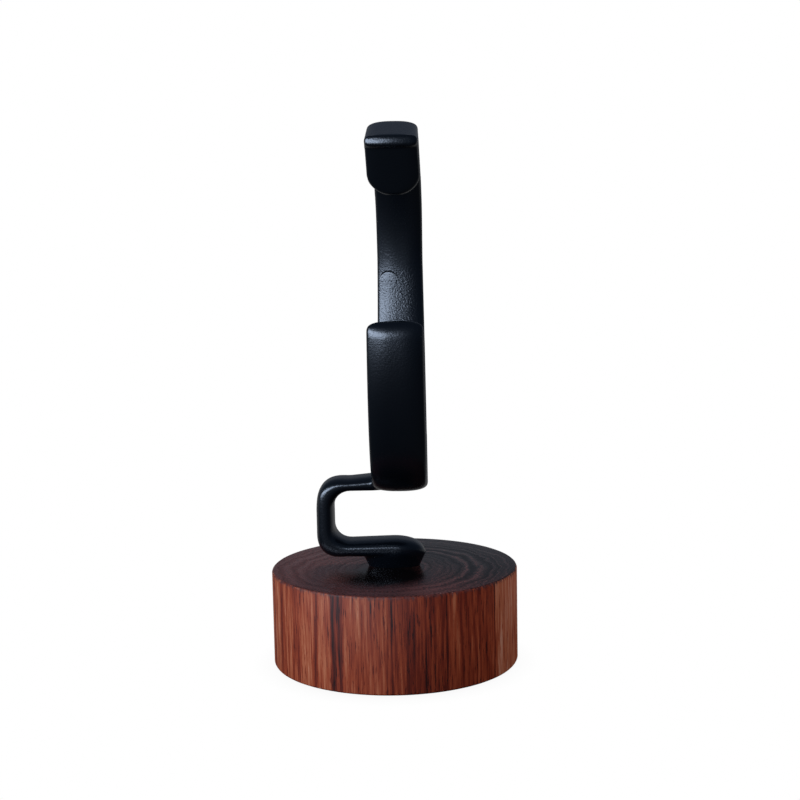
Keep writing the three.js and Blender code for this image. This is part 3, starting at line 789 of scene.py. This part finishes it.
white_table, tree, output = new_material("white_table")
floor.data.materials.append(white_table)
open_sky = add_node(tree, "ShaderNodeAmbientOcclusion", {"samples": 16}, Distance=CONTACT * MM).outputs["AO"]
level = add_node(
    tree, "ShaderNodeMapRange", Value=open_sky, To_Min=CONTACT_LEVEL, From_Min=CONTACT_SKY,
).outputs[0]
matt = add_node(tree, "ShaderNodeBsdfDiffuse", Color=hex_colour("#2e2e2e"))
lit = add_node(tree, "ShaderNodeEmission", Color=hex_colour("#ffffff"), Strength=level)
towards = add_node(
    tree, "ShaderNodeSeparateXYZ", Vector=add_node(tree, "ShaderNodeTexCoord").outputs["Object"],
).outputs["Y"]
sheen = add_node(
    tree, "ShaderNodeMapRange", Value=towards, From_Min=0.0, From_Max=SHEEN_REACH, To_Min=FLOOR_SHEEN,
    To_Max=FLOOR_SHEEN_BEHIND,
).outputs[0]
mixed = whitened(tree, matt, lit, sheen)
tree.links.new(mixed.outputs[0], output.inputs["Surface"])

BACKDROP_SHEEN = 0.13  # share of the white backdrop that glossy pieces show, low behind the holder
ROOM_SHEEN = 0.015  # the same higher up and towards the camera
LOW, HIGH = 0.15, 0.4  # how far a direction points up, where the first ends and the second begins
FRONT, BACK = -0.3, 0.6  # how far it points back, likewise
ROOM_LEVEL = 0.13  # light of the dim room on matt pieces
world = bpy.data.worlds.new("white_room")
bpy.context.scene.world = world
world.use_nodes = True
world.cycles.sampling_method = "NONE"
tree = world.node_tree
tree.nodes.clear()
towards = add_node(
    tree, "ShaderNodeSeparateXYZ", Vector=add_node(tree, "ShaderNodeTexCoord").outputs["Generated"],
).outputs
low = add_node(
    tree, "ShaderNodeMapRange", Value=towards["Z"], From_Min=LOW, From_Max=HIGH, To_Min=BACKDROP_SHEEN,
    To_Max=ROOM_SHEEN,
).outputs[0]
sheen = add_node(
    tree, "ShaderNodeMapRange", Value=towards["Y"], From_Min=FRONT, From_Max=BACK, To_Min=ROOM_SHEEN,
    To_Max=low,
).outputs[0]
room = add_node(tree, "ShaderNodeBackground", Color=hex_colour("#8fa8d0"), Strength=ROOM_LEVEL)
white = add_node(tree, "ShaderNodeBackground", Color=hex_colour("#ffffff"), Strength=1.0)
mixed = whitened(tree, room, white, sheen)
add_node(tree, "ShaderNodeOutputWorld", Surface=mixed.outputs[0])


def lamp(name, azimuth, elevation, distance, size, power, colour, target_height, glossy=True):
    """Soft rectangular lamp that looks at a point over the middle of the floor. Azimuth is in degrees from the
    front, positive to the left."""
    light = bpy.data.lights.new(name, "AREA")
    light.shape = "RECTANGLE"
    light.size, light.size_y = size
    light.energy = power
    light.color = hex_colour(colour)[:3]
    made = bpy.data.objects.new(name, light)
    bpy.context.scene.collection.objects.link(made)
    turn, lift = math.radians(azimuth), math.radians(elevation)
    towards = Vector((-math.sin(turn) * math.cos(lift), -math.cos(turn) * math.cos(lift), math.sin(lift)))
    made.location = Vector((0, 0, target_height)) + towards * distance
    made.rotation_euler = towards.to_track_quat("Z", "Y").to_euler()
    made.visible_camera = False
    made.visible_glossy = glossy


lamp(
    "window", azimuth=45, elevation=17.5, distance=1.2, size=(1.75, 0.4), power=27.0, colour="#e4eeff",
    target_height=0.06,
)
lamp(
    "reflector_right", azimuth=-100, elevation=10, distance=0.9, size=(0.6, 0.4), power=5.5, colour="#eef2ff",
    target_height=0.06, glossy=False,
)
lamp(
    "softbox_behind", azimuth=-170, elevation=48, distance=0.9, size=(0.25, 0.25), power=5.0, colour="#fff4f0",
    target_height=0.02, glossy=False,
)

CAMERA_AT = (0.00995, -0.29991, 0.09388)
CAMERA_AHEAD = Vector((-0.02699, 0.99089, -0.13191))
CAMERA_RIGHT = Vector((0.99951, 0.02469, -0.01903))
CAMERA_LENS = 67.5
camera_data = bpy.data.cameras.new("camera")
camera_data.lens = CAMERA_LENS
camera_data.sensor_width = 36.0
camera_data.clip_start = 0.01
camera = bpy.data.objects.new("camera", camera_data)
bpy.context.scene.collection.objects.link(camera)
ahead = CAMERA_AHEAD.normalized()
right = (CAMERA_RIGHT - ahead * CAMERA_RIGHT.dot(ahead)).normalized()
turn = Matrix((right, right.cross(ahead), -ahead)).transposed()
camera.matrix_world = Matrix.Translation(CAMERA_AT) @ turn.to_4x4()
bpy.context.scene.camera = camera
bpy.context.scene.view_settings.view_transform = "Standard"

bpy.context.view_layer.update()
